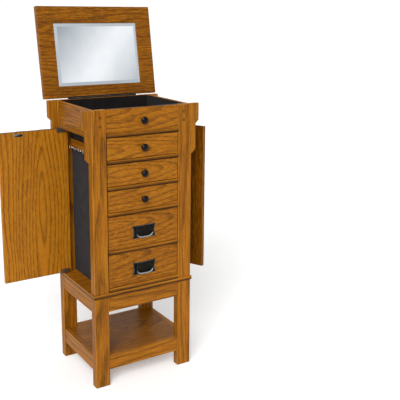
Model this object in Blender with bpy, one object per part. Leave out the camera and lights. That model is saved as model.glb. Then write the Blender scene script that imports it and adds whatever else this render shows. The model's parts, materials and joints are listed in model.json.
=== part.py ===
"""Mission-style jewelry armoire: four-leg stand, five drawers, lift-up mirror lid, two side doors.

Metres, +Z up. The front faces -Y, and the origin is on the floor under the middle of the case.
The lid and both side doors are modelled open; the hinge axes carry them shut.
"""

import math

import bmesh
import bpy
from mathutils import Vector

# overall sizes
CASE_WIDTH = 0.402
CASE_DEPTH = 0.328
LEG_HEIGHT = 0.350
GAP = 0.0003

# stand
APRON_HEIGHT = 0.059
APRON_THICKNESS = 0.018
APRON_SETBACK = 0.002
SHELF_RAIL_BOTTOM = 0.062
SHELF_RAIL_HEIGHT = 0.058
SHELF_RAIL_THICKNESS = 0.020
SHELF_RAIL_SETBACK = 0.0025
SHELF_THICKNESS = 0.014
MOULDING_HEIGHT = 0.0145
MOULDING_PROUD = 0.0045

# legs and posts share one section
POST_WIDTH = 0.0555
POST_DEPTH = 0.0315
POST_ROUND = 0.0022
BOARD_ROUND = 0.0012
MOULDING_ROUND = 0.003
PEG_SIZE = 0.009
PEG_PROUD = 0.0016
PEG_INSET = 0.0335
PEG_DRAW_IN = 0.35
PEG_DROPS = (0.027, 0.058)

# corbels on the outer faces of the posts
CORBEL_REACH = 0.0325
CORBEL_WAIST = 0.0195
CORBEL_TOE = 0.0045
CORBEL_THICKNESS = 0.0175
CORBEL_SETBACK = 0.0022
CORBEL_TOP_RUN = 0.063
CORBEL_HEIGHT = 0.186

# front
BOTTOM_RAIL_HEIGHT = 0.0155
RAIL_HEIGHT = 0.012
RAIL_PROUD = 0.003
RAIL_DEPTH = 0.020
LARGE_OPENING = 0.1287
SMALL_OPENING = 0.0832
FALSE_FRONT_HEIGHT = 0.0862
FRONT_SETBACK = 0.002
FRONT_THICKNESS = 0.016
FRONT_SIDE_GAP = 0.0020
FRONT_TOP_GAP = 0.0026
FRONT_BOTTOM_GAP = 0.0012

# carcass inside
BACK_THICKNESS = 0.012
PARTITION_THICKNESS = 0.006
PARTITION_INSET = 0.003
RUNNER_WIDTH = 0.008
RUNNER_HEIGHT = 0.005
SIDE_PANEL_SETBACK = 0.004
SIDE_PANEL_THICKNESS = 0.010
SIDE_STRIP_PROUD = 0.003
TRAY_WALL = 0.0025
TRAY_FLOOR = 0.006
TRAY_RIM_DROP = 0.002

# drawer boxes
BOX_SIDE_GAP = 0.002
BOX_WALL = 0.007
BOX_FLOOR = 0.004
BOX_REAR_GAP = 0.010
BOX_TOP_GAP = 0.012
BOX_RUNNER_GAP = 0.0005

# lid, mirror and hinge
LID_SIDE_OVERHANG = 0.004
LID_FRONT_OVERHANG = 0.0169
LID_THICKNESS = 0.0195
LID_ROUND = 0.003
LID_LEAN = math.radians(10)
FRAME_SIDE = 0.0635
FRAME_FRONT = 0.063
FRAME_REAR = 0.044
MIRROR_RECESS = 0.006
MIRROR_THICKNESS = 0.004
MIRROR_EDGE = 0.002
MIRROR_BEVEL = 0.013
KNUCKLE_RADIUS = 0.003
KNUCKLE_GAP = 0.0006
LID_KNUCKLE_GAP = 0.0005
LEAF_THICKNESS = 0.0015
LEAF_DEPTH = 0.0045
HINGE_END_GAP = 0.001

# side doors
DOOR_THICKNESS = 0.014
DOOR_SETBACK = 0.004
DOOR_EDGE_GAP = 0.00175
DOOR_TOP_GAP = 0.0025
DOOR_BOTTOM_GAP = 0.0033
PIVOT_FROM_FACE = 0.006
PIVOT_FROM_EDGE = 0.016
BATTEN_WIDTH = 0.034
BATTEN_PROUD = 0.0035
LEFT_DOOR_OPEN = math.radians(90)
RIGHT_DOOR_OPEN = math.radians(25.5)
PLATE_LENGTH = 0.038
PLATE_HEIGHT = 0.0145
PLATE_THICKNESS = 0.0015
PLATE_INSET = 0.006
PLATE_FLANGE_SHARE = 0.8
PLATE_FLANGE_REACH = 0.5

# necklace hooks
HOOK_RAIL_HEIGHT = 0.036
HOOK_RAIL_THICKNESS = 0.009
HOOK_RAIL_DROP = 0.045
HOOK_RAIL_END_GAP = 0.012
HOOKS = 6
HOOK_RADIUS = 0.0013
HOOK_REACH = 0.013
HOOK_RISE = 0.006
HOOK_ROOT = 0.003
HOOK_LEVEL = 0.8
HOOK_SIDES = 8
HOOK_STEPS = 6
HOOK_BEND_SHARE = 1 / 3

# knobs and bail pulls
KNOB_RADIUS = 0.0132
KNOB_LENGTH = 0.021
KNOB_SEGMENTS = 28
KNOB_DROP = 0.003
KNOB_NECK = 0.42
KNOB_FOOT = 0.62
KNOB_UNDERSIDE = 0.84
KNOB_HEAD_START = 0.46
KNOB_FOOT_HEIGHT = 0.0012
KNOB_NECK_START = 0.48
KNOB_NECK_END = 0.8
KNOB_DOME_START = 0.28
KNOB_DOME_STEPS = 6
KNOB_DOME_ANGLES = (-10, 90)
PULL_WIDTH = 0.096
PULL_HEIGHT = 0.050
PULL_FLARE = 0.0055
PULL_FLARE_SHARE = 0.4
PULL_EDGE_STEPS = 6
PULL_THICKNESS = 0.0022
PULL_DROP = 0.008
PULL_POST_SPACING = 0.050
PULL_POST_RADIUS = 0.0042
PULL_POST_LENGTH = 0.0115
PULL_POST_RISE = 0.007
PULL_POST_TAPER = 0.9
PULL_POST_SINK = 0.4
PULL_POST_SIDES = 16
BAIL_RADIUS = 0.0021
BAIL_DROP = 0.026
BAIL_BULGE = 0.0055
BAIL_SIDES = 10
BAIL_STEPS = 26
BAIL_SQUARENESS = 0.55
BAIL_FALL = 0.8
BAIL_END_SHARE = 0.8
BAIL_SWELL = 0.45

# derived heights
MOULDING_TOP = LEG_HEIGHT + MOULDING_HEIGHT
FIRST_OPENING = MOULDING_TOP + BOTTOM_RAIL_HEIGHT
OPENINGS = (SMALL_OPENING, SMALL_OPENING, SMALL_OPENING, LARGE_OPENING, LARGE_OPENING)
SIDE_STRIP_BOTTOM = FIRST_OPENING + sum(OPENINGS) + RAIL_HEIGHT * (len(OPENINGS) - 1)
SIDE_STRIP_TOP = SIDE_STRIP_BOTTOM + RAIL_HEIGHT
CASE_TOP = SIDE_STRIP_TOP + FALSE_FRONT_HEIGHT
TRAY_BOTTOM = SIDE_STRIP_BOTTOM + RAIL_HEIGHT / 2

# derived planes
SIDE = CASE_WIDTH / 2
FRONT = -CASE_DEPTH / 2
BACK = CASE_DEPTH / 2
POST_INNER = SIDE - POST_WIDTH
FRONT_FACE = FRONT + FRONT_SETBACK
FRONT_BACK = FRONT_FACE + FRONT_THICKNESS
BACK_PANEL_FACE = BACK - BACK_THICKNESS
PARTITION_OUTER = POST_INNER + PARTITION_INSET
PARTITION_INNER = PARTITION_OUTER - PARTITION_THICKNESS
TRAY_SIDE = SIDE - SIDE_PANEL_SETBACK - SIDE_PANEL_THICKNESS
BOX_HALF_WIDTH = PARTITION_INNER - BOX_SIDE_GAP
HINGE_Y = BACK + KNUCKLE_RADIUS + KNUCKLE_GAP
HINGE_Z = CASE_TOP - LEAF_THICKNESS / 2
LID_REAR = HINGE_Y - KNUCKLE_RADIUS - LID_KNUCKLE_GAP
LID_WIDTH = CASE_WIDTH + 2 * (CORBEL_REACH + LID_SIDE_OVERHANG)
LID_DEPTH = LID_REAR - FRONT + LID_FRONT_OVERHANG
PIVOT_X = SIDE - DOOR_SETBACK - PIVOT_FROM_FACE
PIVOT_Y = BACK - POST_DEPTH - DOOR_EDGE_GAP - PIVOT_FROM_EDGE
DOOR_BOTTOM = MOULDING_TOP + DOOR_BOTTOM_GAP
DOOR_TOP = SIDE_STRIP_BOTTOM - DOOR_TOP_GAP
SIDES = (("left", -1), ("right", 1))

FINISHES = {
    "oak": ((0.42, 0.17, 0.028), 0.42, 0.0),
    "drawer_wood": ((0.50, 0.27, 0.09), 0.6, 0.0),
    "felt": ((0.012, 0.010, 0.011), 0.95, 0.0),
    "mirror": ((0.85, 0.88, 0.90), 0.03, 1.0),
    "dark_metal": ((0.030, 0.034, 0.036), 0.4, 1.0),
    "black_knob": ((0.006, 0.006, 0.007), 0.2, 0.0),
}


def clear_scene():
    for item in list(bpy.data.objects):
        bpy.data.objects.remove(item, do_unlink=True)


def finish_material(name, finish):
    color, roughness, metallic = FINISHES[finish]
    material = bpy.data.materials.new(name + "_" + finish)
    material.use_nodes = True
    shader = material.node_tree.nodes["Principled BSDF"]
    shader.inputs["Base Color"].default_value = (*color, 1.0)
    shader.inputs["Roughness"].default_value = roughness
    shader.inputs["Metallic"].default_value = metallic
    return material


def place(name, shape, finish, origin=(0.0, 0.0, 0.0), turn=(0.0, 0.0, 0.0), smooth=None):
    """Turn a bmesh, drawn about its origin, into a named object."""
    bmesh.ops.recalc_face_normals(shape, faces=shape.faces)
    mesh = bpy.data.meshes.new(name)
    shape.to_mesh(mesh)
    shape.free()
    if smooth:
        mesh.shade_smooth()
        mesh.set_sharp_from_angle(angle=math.radians(smooth))
    item = bpy.data.objects.new(name, mesh)
    item.location = origin
    item.rotation_euler = turn
    item.data.materials.append(finish_material(name, finish))
    bpy.context.scene.collection.objects.link(item)
    return item


def spans(*pairs):
    """A box as its low and high corner, from one pair of limits along each axis."""
    low = tuple(min(pair) for pair in pairs)
    high = tuple(max(pair) for pair in pairs)
    return low, high


def blocks(solids, cuts=()):
    """One closed mesh round the union of upright boxes, less the cut boxes."""
    boxes = list(solids) + list(cuts)
    planes = []
    for axis in range(3):
        planes.append(sorted({round(corner[axis], 7) for box in boxes for corner in box}))

    def holds(box, middle):
        return all(box[0][a] < middle[a] < box[1][a] for a in range(3))

    filled = set()
    counts = [len(values) - 1 for values in planes]
    for i in range(counts[0]):
        for j in range(counts[1]):
            for k in range(counts[2]):
                cell = (i, j, k)
                middle = [(planes[a][cell[a]] + planes[a][cell[a] + 1]) / 2 for a in range(3)]
                inside = any(holds(box, middle) for box in solids)
                if inside and not any(holds(box, middle) for box in cuts):
                    filled.add(cell)

    shape = bmesh.new()
    corners_made = {}

    def corner(index):
        if index not in corners_made:
            corners_made[index] = shape.verts.new([planes[a][index[a]] for a in range(3)])
        return corners_made[index]

    for cell in sorted(filled):
        for axis in range(3):
            for step in (-1, 1):
                beyond = list(cell)
                beyond[axis] += step
                if tuple(beyond) in filled:
                    continue
                ring = []
                for u, v in ((0, 0), (1, 0), (1, 1), (0, 1)):
                    index = list(cell)
                    index[axis] += (step + 1) // 2
                    index[(axis + 1) % 3] += u
                    index[(axis + 2) % 3] += v
                    ring.append(corner(tuple(index)))
                if step < 0:
                    ring.reverse()
                shape.faces.new(ring)
    bmesh.ops.dissolve_limit(
        shape, angle_limit=math.radians(0.5), verts=shape.verts[:], edges=shape.edges[:]
    )
    return shape


def soften(shape, radius, pick=None, steps=2):
    """Round the edges that pick chooses, or all of them."""
    edges = [edge for edge in shape.edges if pick is None or pick(edge)]
    bmesh.ops.bevel(
        shape, geom=edges, offset=radius, segments=steps, profile=0.5,
        affect="EDGES", clamp_overlap=True,
    )
    return shape


def board(name, box, radius=BOARD_ROUND):
    place(name, soften(blocks([box]), radius), "oak")


def prism(outline, low, high, axis):
    """Carry a closed outline of (u, v) points along an axis: x, y or z."""
    shape = bmesh.new()
    order = {"x": (2, 0, 1), "y": (0, 2, 1), "z": (0, 1, 2)}[axis]
    ends = []
    for level in (low, high):
        ring = []
        for u, v in outline:
            values = (u, v, level)
            ring.append(shape.verts.new([values[order[a]] for a in range(3)]))
        ends.append(ring)
    shape.faces.new(ends[0])
    shape.faces.new(ends[1])
    count = len(outline)
    for i in range(count):
        j = (i + 1) % count
        shape.faces.new((ends[0][i], ends[0][j], ends[1][j], ends[1][i]))
    bmesh.ops.recalc_face_normals(shape, faces=shape.faces)
    return shape


def arc(center, radius, start, end, steps):
    points = []
    for i in range(steps + 1):
        angle = math.radians(start + (end - start) * i / steps)
        points.append((center[0] + radius * math.cos(angle), center[1] + radius * math.sin(angle)))
    return points


def turned(profile, segments):
    """Turn (radius, height) points about the Y axis, heights running towards -Y."""
    shape = bmesh.new()
    rings = []
    for radius, height in profile:
        if radius == 0:
            rings.append([shape.verts.new((0, -height, 0))])
            continue
        ring = []
        for i in range(segments):
            angle = 2 * math.pi * i / segments
            ring.append(shape.verts.new((radius * math.cos(angle), -height, radius * math.sin(angle))))
        rings.append(ring)
    for lower, upper in zip(rings, rings[1:]):
        for i in range(segments):
            j = (i + 1) % segments
            if len(lower) == 1:
                shape.faces.new((lower[0], upper[i], upper[j]))
            elif len(upper) == 1:
                shape.faces.new((lower[i], lower[j], upper[0]))
            else:
                shape.faces.new((lower[i], lower[j], upper[j], upper[i]))
    return shape


def tube(shape, path, radii, sides):
    """A closed round bar through the path's points."""
    rings = []
    count = len(path)
    across = None
    for i in range(count):
        ahead = path[min(i + 1, count - 1)] - path[max(i - 1, 0)]
        ahead.normalize()
        if across is None:
            across = ahead.orthogonal().normalized()
        across = (across - ahead * across.dot(ahead)).normalized()
        other = ahead.cross(across)
        ring = []
        for k in range(sides):
            angle = 2 * math.pi * k / sides
            offset = across * math.cos(angle) + other * math.sin(angle)
            ring.append(shape.verts.new(path[i] + offset * radii[i]))
        rings.append(ring)
    for first, second in zip(rings, rings[1:]):
        for k in range(sides):
            n = (k + 1) % sides
            shape.faces.new((first[k], first[n], second[n], second[k]))
    shape.faces.new(rings[0])
    shape.faces.new(rings[-1])


def joined(item, shape, name):
    """Unite one closed shape, or several apart, with an object."""
    bmesh.ops.recalc_face_normals(shape, faces=shape.faces)
    mesh = bpy.data.meshes.new(name)
    shape.to_mesh(mesh)
    shape.free()
    guide = bpy.data.objects.new(name, mesh)
    guide.location = item.location
    guide.rotation_euler = item.rotation_euler
    guide.hide_render = True
    guide.display_type = "WIRE"
    bpy.context.scene.collection.objects.link(guide)
    union = item.modifiers.new("join", "BOOLEAN")
    union.operation = "UNION"
    union.solver = "EXACT"
    union.object = guide


def upright(edge):
    along = edge.verts[0].co - edge.verts[1].co
    return abs(along.z) > 0.9 * along.length


def corner_span(sign_x, sign_y):
    """The X and Y limits of the leg or post at one corner."""
    across = (sign_x * SIDE, sign_x * POST_INNER)
    deep = (sign_y * BACK, sign_y * (BACK - POST_DEPTH))
    return across, deep


def corners():
    for row, sign_y in (("front", -1), ("rear", 1)):
        for side, sign_x in SIDES:
            yield row + "_" + side, sign_x, sign_y


def build_stand():
    for name, sign_x, sign_y in corners():
        across, deep = corner_span(sign_x, sign_y)
        board("leg_" + name, spans(across, deep, (0, LEG_HEIGHT - GAP)), radius=POST_ROUND)
    levels = (LEG_HEIGHT - APRON_HEIGHT, LEG_HEIGHT - GAP)
    for name, sign_y in (("front", -1), ("rear", 1)):
        outer = sign_y * (BACK - APRON_SETBACK)
        across = (GAP - POST_INNER, POST_INNER - GAP)
        board("apron_" + name, spans(across, (outer, outer - sign_y * APRON_THICKNESS), levels))
    for side, sign_x in SIDES:
        outer = sign_x * (SIDE - APRON_SETBACK)
        deep = (FRONT + POST_DEPTH + GAP, BACK - POST_DEPTH - GAP)
        board("apron_" + side, spans((outer, outer - sign_x * APRON_THICKNESS), deep, levels))
    build_shelf()
    proud = SIDE + MOULDING_PROUD
    plate = spans((-proud, proud), (FRONT - MOULDING_PROUD, BACK), (LEG_HEIGHT, MOULDING_TOP - GAP))
    board("base_moulding", plate, radius=MOULDING_ROUND)


def build_shelf():
    """The lower shelf with its four rails glued on as edging, notched round the legs."""
    levels = (SHELF_RAIL_BOTTOM, SHELF_RAIL_BOTTOM + SHELF_RAIL_HEIGHT)
    outer_x = SIDE - SHELF_RAIL_SETBACK
    outer_y = BACK - SHELF_RAIL_SETBACK
    whole = spans((-outer_x, outer_x), (-outer_y, outer_y), levels)
    inner_x = outer_x - SHELF_RAIL_THICKNESS
    inner_y = outer_y - SHELF_RAIL_THICKNESS
    hollow = spans((-inner_x, inner_x), (-inner_y, inner_y), (levels[0], levels[1] - SHELF_THICKNESS))
    cuts = [hollow]
    for _, sign_x, sign_y in corners():
        edge_x = sign_x * (POST_INNER - GAP)
        edge_y = sign_y * (BACK - POST_DEPTH - GAP)
        cuts.append(spans((edge_x, sign_x * SIDE), (edge_y, sign_y * BACK), levels))
    place("lower_shelf", blocks([whole], cuts), "oak")


def build_posts():
    """Full section below the tray, and an outer L above it so that the tray is a plain rectangle."""
    for name, sign_x, sign_y in corners():
        across, deep = corner_span(sign_x, sign_y)
        solid = spans(across, deep, (MOULDING_TOP, CASE_TOP))
        tray_y = BACK_PANEL_FACE if sign_y > 0 else FRONT_BACK
        rebate = spans(
            (sign_x * TRAY_SIDE, sign_x * POST_INNER),
            (tray_y, sign_y * (BACK - POST_DEPTH)),
            (TRAY_BOTTOM, CASE_TOP),
        )
        parts = [solid]
        if sign_y < 0:
            parts += [peg_box(sign_x, drop) for drop in PEG_DROPS]
        shape = blocks(parts, [rebate])
        if sign_y < 0:
            shape_pegs(shape, sign_x)
        soften(shape, POST_ROUND, lambda edge: at_corner(edge, across, deep))
        place("post_" + name, shape, "oak")


def at_corner(edge, across, deep):
    """True for an upright edge at a corner of the post's full section, leaving out the inmost corner."""
    if not upright(edge):
        return False
    point = edge.verts[0].co
    at_x = [abs(point.x - value) < 1e-5 for value in across]
    at_y = [abs(point.y - value) < 1e-5 for value in deep]
    return any(at_x) and any(at_y) and (at_x[0] or at_y[0])


def peg_box(sign_x, drop):
    """A square peg end, standing proud of the front face."""
    middle = sign_x * (SIDE - PEG_INSET)
    half = PEG_SIZE / 2
    height = CASE_TOP - drop
    levels = (height - half, height + half)
    return spans((middle - half, middle + half), (FRONT - PEG_PROUD, FRONT), levels)


def shape_pegs(shape, sign_x):
    """Draw each peg's end face in to a blunt pyramid."""
    middle = sign_x * (SIDE - PEG_INSET)
    for vert in shape.verts:
        if vert.co.y > FRONT - PEG_PROUD / 2:
            continue
        height = CASE_TOP - min(PEG_DROPS, key=lambda drop: abs(CASE_TOP - drop - vert.co.z))
        vert.co.x = middle + (vert.co.x - middle) * PEG_DRAW_IN
        vert.co.z = height + (vert.co.z - height) * PEG_DRAW_IN


def build_corbels():
    """Stepped brackets: a broad head, a narrow waist and a small toe, joined by 45-degree chamfers."""
    head_end = CASE_TOP - CORBEL_TOP_RUN
    waist_start = head_end - (CORBEL_REACH - CORBEL_WAIST)
    toe = CASE_TOP - CORBEL_HEIGHT
    waist_end = toe + (CORBEL_WAIST - CORBEL_TOE)
    outline = (
        (GAP, CASE_TOP), (CORBEL_REACH, CASE_TOP), (CORBEL_REACH, head_end),
        (CORBEL_WAIST, waist_start), (CORBEL_WAIST, waist_end), (CORBEL_TOE, toe), (GAP, toe),
    )
    for name, sign_x, sign_y in corners():
        points = [(sign_x * (SIDE + u), v) for u, v in outline]
        outer = sign_y * (BACK - CORBEL_SETBACK)
        shape = prism(points, outer, outer - sign_y * CORBEL_THICKNESS, "y")
        soften(shape, BOARD_ROUND, lambda edge: outside_post(edge, sign_x))
        place("corbel_" + name, shape, "oak")


def outside_post(edge, sign_x):
    return all(sign_x * vert.co.x > SIDE + 2 * GAP for vert in edge.verts)


def opening_levels():
    """The bottom and top of each drawer opening, from the top drawer down."""
    levels = []
    top = SIDE_STRIP_BOTTOM
    for height in OPENINGS:
        levels.append((top - height, top))
        top -= height + RAIL_HEIGHT
    return levels


def build_front():
    across = (GAP - POST_INNER, POST_INNER - GAP)
    deep = (FRONT - RAIL_PROUD, FRONT - RAIL_PROUD + RAIL_DEPTH)
    tops = [SIDE_STRIP_TOP] + [bottom for bottom, _ in opening_levels()]
    for number, top in enumerate(tops, 1):
        height = RAIL_HEIGHT if number < len(tops) else BOTTOM_RAIL_HEIGHT
        board("case_rail_%d" % number, spans(across, deep, (top - height, top)))
    face = spans(across, (FRONT_FACE, FRONT_BACK), (SIDE_STRIP_TOP + GAP, CASE_TOP))
    board("false_front", face)
    knob("false_front_knob", (SIDE_STRIP_TOP + CASE_TOP) / 2)


def build_carcass():
    across = (GAP - POST_INNER, POST_INNER - GAP)
    panel = spans(across, (BACK_PANEL_FACE, BACK), (MOULDING_TOP, CASE_TOP - LEAF_THICKNESS / 2))
    seat = spans(across, (BACK - LEAF_DEPTH - GAP, BACK), (CASE_TOP - LEAF_THICKNESS - GAP, CASE_TOP))
    place("back_panel", blocks([panel], [seat]), "oak")
    deep = (FRONT + POST_DEPTH + GAP, BACK - POST_DEPTH - GAP)
    for side, sign_x in SIDES:
        build_partition(side, sign_x, deep)
        build_hook_rail(side, sign_x)
        build_side_panel(side, sign_x, deep)
    tray_x = TRAY_SIDE - GAP
    tray_y = (FRONT_BACK + GAP, BACK_PANEL_FACE - GAP)
    levels = (TRAY_BOTTOM + GAP, CASE_TOP - TRAY_RIM_DROP)
    whole = spans((-tray_x, tray_x), tray_y, levels)
    inner = spans(
        (-tray_x + TRAY_WALL, tray_x - TRAY_WALL),
        (tray_y[0] + TRAY_WALL, tray_y[1] - TRAY_WALL),
        (levels[0] + TRAY_FLOOR, levels[1]),
    )
    place("tray_liner", blocks([whole], [inner]), "felt")


def build_partition(side, sign_x, deep):
    """A felt-faced wall between the posts, with a runner under each drawer."""
    wall = spans((sign_x * PARTITION_OUTER, sign_x * PARTITION_INNER), deep, (MOULDING_TOP, TRAY_BOTTOM))
    parts = [wall]
    for bottom, _ in opening_levels():
        across = (sign_x * PARTITION_INNER, sign_x * (PARTITION_INNER - RUNNER_WIDTH))
        parts.append(spans(across, deep, (bottom - RUNNER_HEIGHT, bottom)))
    place("partition_" + side, blocks(parts), "felt")


def build_hook_rail(side, sign_x):
    """A wooden rail on the partition, with hooks that reach out, turn up and end in a tip."""
    back = sign_x * (PARTITION_OUTER + GAP)
    face = sign_x * (PARTITION_OUTER + GAP + HOOK_RAIL_THICKNESS)
    top = SIDE_STRIP_BOTTOM - HOOK_RAIL_DROP
    limit = BACK - POST_DEPTH - HOOK_RAIL_END_GAP
    box = spans((back, face), (-limit, limit), (top - HOOK_RAIL_HEIGHT, top))
    item = place("hook_rail_" + side, soften(blocks([box]), 0.001, steps=1), "oak")
    hooks = bmesh.new()
    pitch = 2 * limit / HOOKS
    for i in range(HOOKS):
        y = -limit + pitch * (i + 0.5)
        hook(hooks, face, sign_x, y, top - HOOK_RAIL_HEIGHT * HOOK_LEVEL)
    joined(item, hooks, "hooks_" + side)


def hook(shape, face, sign_x, y, height):
    """Out from the rail, down in a half round, and up at the tip."""
    bend = HOOK_REACH * HOOK_BEND_SHARE
    path = [Vector((face - sign_x * HOOK_ROOT, y, height))]
    for i in range(HOOK_STEPS + 1):
        angle = math.pi * i / HOOK_STEPS
        out = HOOK_REACH - bend - bend * math.cos(angle)
        path.append(Vector((face + sign_x * out, y, height - bend * math.sin(angle))))
    path.append(Vector((face + sign_x * HOOK_REACH, y, height + HOOK_RISE)))
    tube(shape, path, [HOOK_RADIUS] * len(path), HOOK_SIDES)


def build_side_panel(side, sign_x, deep):
    """The side of the top compartment, with a proud strip along its foot above the door."""
    outer = sign_x * (SIDE - SIDE_PANEL_SETBACK)
    inner = sign_x * (TRAY_SIDE + GAP)
    panel = spans((outer, inner), deep, (SIDE_STRIP_BOTTOM, CASE_TOP))
    proud = sign_x * (SIDE + SIDE_STRIP_PROUD)
    strip = spans((proud, inner), deep, (SIDE_STRIP_BOTTOM, SIDE_STRIP_TOP))
    place("side_panel_" + side, blocks([panel, strip]), "oak")


def knob(name, middle):
    """A mushroom knob: flared foot, thin neck and a low domed head."""
    neck = KNOB_RADIUS * KNOB_NECK
    foot = KNOB_RADIUS * KNOB_FOOT
    head_start = KNOB_LENGTH * KNOB_HEAD_START
    profile = [(0, 0), (foot, 0), (foot, KNOB_FOOT_HEIGHT)]
    profile += [(neck, head_start * KNOB_NECK_START), (neck, head_start * KNOB_NECK_END)]
    profile.append((KNOB_RADIUS * KNOB_UNDERSIDE, head_start))
    dome = KNOB_LENGTH - head_start
    first, last = KNOB_DOME_ANGLES
    for i in range(KNOB_DOME_STEPS + 1):
        angle = math.radians(first + (last - first) * i / KNOB_DOME_STEPS)
        radius = KNOB_RADIUS * math.cos(angle) if i < KNOB_DOME_STEPS else 0
        rise = KNOB_DOME_START + (1 - KNOB_DOME_START) * math.sin(angle)
        profile.append((radius, head_start + dome * rise))
    shape = turned(profile, KNOB_SEGMENTS)
    place(name, shape, "black_knob", (0, FRONT_FACE - GAP, middle - KNOB_DROP), smooth=40)


def drawer_box(number, bottom, top):
    """Four walls and a floor, running on the partitions' runners, behind the drawer's front."""
    x = BOX_HALF_WIDTH
    y = (FRONT_BACK + GAP, BACK_PANEL_FACE - BOX_REAR_GAP)
    low = bottom + BOX_RUNNER_GAP
    high = top - BOX_TOP_GAP
    whole = spans((-x, x), y, (low, high))
    deep = (y[0] + BOX_WALL, y[1] - BOX_WALL)
    inner = spans((BOX_WALL - x, x - BOX_WALL), deep, (low + BOX_FLOOR, high))
    place("drawer_%d_box" % number, blocks([whole], [inner]), "drawer_wood")


def build_drawers():
    half = POST_INNER - FRONT_SIDE_GAP
    for number, (bottom, top) in enumerate(opening_levels(), 1):
        levels = (bottom + FRONT_BOTTOM_GAP, top - FRONT_TOP_GAP)
        board("drawer_%d_front" % number, spans((-half, half), (FRONT_FACE, FRONT_BACK), levels))
        drawer_box(number, bottom, top)
        middle = (bottom + top) / 2
        if OPENINGS[number - 1] == SMALL_OPENING:
            knob("drawer_%d_knob" % number, middle)
        else:
            bail_pull(number, middle - PULL_DROP)


def plate_outline():
    """A rectangle whose four sides curve in between flared corners."""
    half_w = PULL_WIDTH / 2
    half_h = PULL_HEIGHT / 2
    ends = ((-half_w, -half_h), (half_w, -half_h), (half_w, half_h), (-half_w, half_h))
    points = []
    for (x0, z0), (x1, z1) in zip(ends, ends[1:] + ends[:1]):
        for i in range(PULL_EDGE_STEPS):
            share = i / PULL_EDGE_STEPS
            pull = PULL_FLARE * math.sin(math.pi * share)
            x = x0 + (x1 - x0) * share
            z = z0 + (z1 - z0) * share
            if x0 == x1:
                x -= math.copysign(pull, x0)
            else:
                z -= math.copysign(pull * PULL_FLARE_SHARE, z0)
            points.append((x, z))
    return points


def bail_pull(number, middle):
    """A back plate with two posts, and a bail that hangs between them."""
    back = FRONT_FACE - GAP
    shape = prism(plate_outline(), 0, -PULL_THICKNESS, "y")
    item = place("drawer_%d_pull_plate" % number, shape, "dark_metal", (0, back, middle))
    posts = bmesh.new()
    for sign in (-1, 1):
        start = Vector((sign * PULL_POST_SPACING / 2, -PULL_THICKNESS * PULL_POST_SINK, PULL_POST_RISE))
        path = [start, start + Vector((0, -PULL_POST_LENGTH, 0))]
        tube(posts, path, [PULL_POST_RADIUS, PULL_POST_RADIUS * PULL_POST_TAPER], PULL_POST_SIDES)
    joined(item, posts, "posts_%d" % number)
    bail(number, back, middle)


def bail(number, back, middle):
    """A bar that leaves each post sideways, swings down and sweeps across below them."""
    post_end = back - PULL_THICKNESS * PULL_POST_SINK - PULL_POST_LENGTH
    axis_y = post_end + PULL_POST_RADIUS * PULL_POST_TAPER
    post_edge = PULL_POST_SPACING / 2 + PULL_POST_RADIUS + GAP
    wide = post_edge + BAIL_BULGE
    path = [Vector((post_edge, 0, 0))]
    radii = [BAIL_RADIUS * BAIL_END_SHARE]
    for i in range(BAIL_STEPS + 1):
        angle = math.pi * i / BAIL_STEPS
        side = math.copysign(abs(math.cos(angle)) ** BAIL_SQUARENESS, math.cos(angle))
        fall = abs(math.sin(angle)) ** BAIL_FALL
        path.append(Vector((wide * side, 0, -BAIL_DROP * fall)))
        radii.append(BAIL_RADIUS * (BAIL_END_SHARE + BAIL_SWELL * fall))
    path.append(Vector((-post_edge, 0, 0)))
    radii.append(BAIL_RADIUS * BAIL_END_SHARE)
    shape = bmesh.new()
    tube(shape, path, radii, BAIL_SIDES)
    origin = (0, axis_y, middle + PULL_POST_RISE)
    place("drawer_%d_bail" % number, shape, "dark_metal", origin, smooth=50)


def build_lid():
    """Drawn shut about the hinge line, then turned open until it leans back."""
    turn = (-(math.pi / 2 + LID_LEAN), 0, 0)
    axis = (0, HINGE_Y, HINGE_Z)
    under = CASE_TOP + GAP - HINGE_Z
    rear = LID_REAR - HINGE_Y
    front = rear - LID_DEPTH
    half = LID_WIDTH / 2
    slab = spans((-half, half), (front, rear), (under, under + LID_THICKNESS))
    glass_x = half - FRAME_SIDE
    glass_y = (front + FRAME_FRONT, rear - FRAME_REAR)
    recess = spans((-glass_x, glass_x), glass_y, (under, under + MIRROR_RECESS))
    shape = blocks([slab], [recess])
    soften(shape, LID_ROUND, lambda edge: on_rim(edge, slab))
    place("lid", shape, "oak", axis, turn)
    deep = (glass_y[0] + GAP, glass_y[1] - GAP)
    build_mirror(glass_x - GAP, deep, under + MIRROR_RECESS - GAP, axis, turn)
    build_hinge()


def on_rim(edge, box):
    """True for an edge along the outside of a box."""
    shared = 0
    for axis in range(3):
        values = [vert.co[axis] for vert in edge.verts]
        for limit in (box[0][axis], box[1][axis]):
            if all(abs(value - limit) < 1e-5 for value in values):
                shared += 1
    return shared == 2


def build_mirror(half, deep, back, axis, turn):
    """Glass with a wide bevel round its face, which looks down when the lid is shut."""
    face = back - MIRROR_THICKNESS
    edge = back - MIRROR_EDGE
    shape = bmesh.new()
    rings = []
    for inset, level in ((0, back), (0, edge), (MIRROR_BEVEL, face)):
        low = deep[0] + inset
        high = deep[1] - inset
        wide = half - inset
        outline = ((-wide, low), (wide, low), (wide, high), (-wide, high))
        ring = [shape.verts.new((x, y, level)) for x, y in outline]
        rings.append(ring)
    shape.faces.new(rings[0])
    shape.faces.new(rings[2])
    for first, second in zip(rings, rings[1:]):
        for i in range(4):
            j = (i + 1) % 4
            shape.faces.new((first[i], first[j], second[j], second[i]))
    place("lid_mirror", shape, "mirror", axis, turn)


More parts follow.
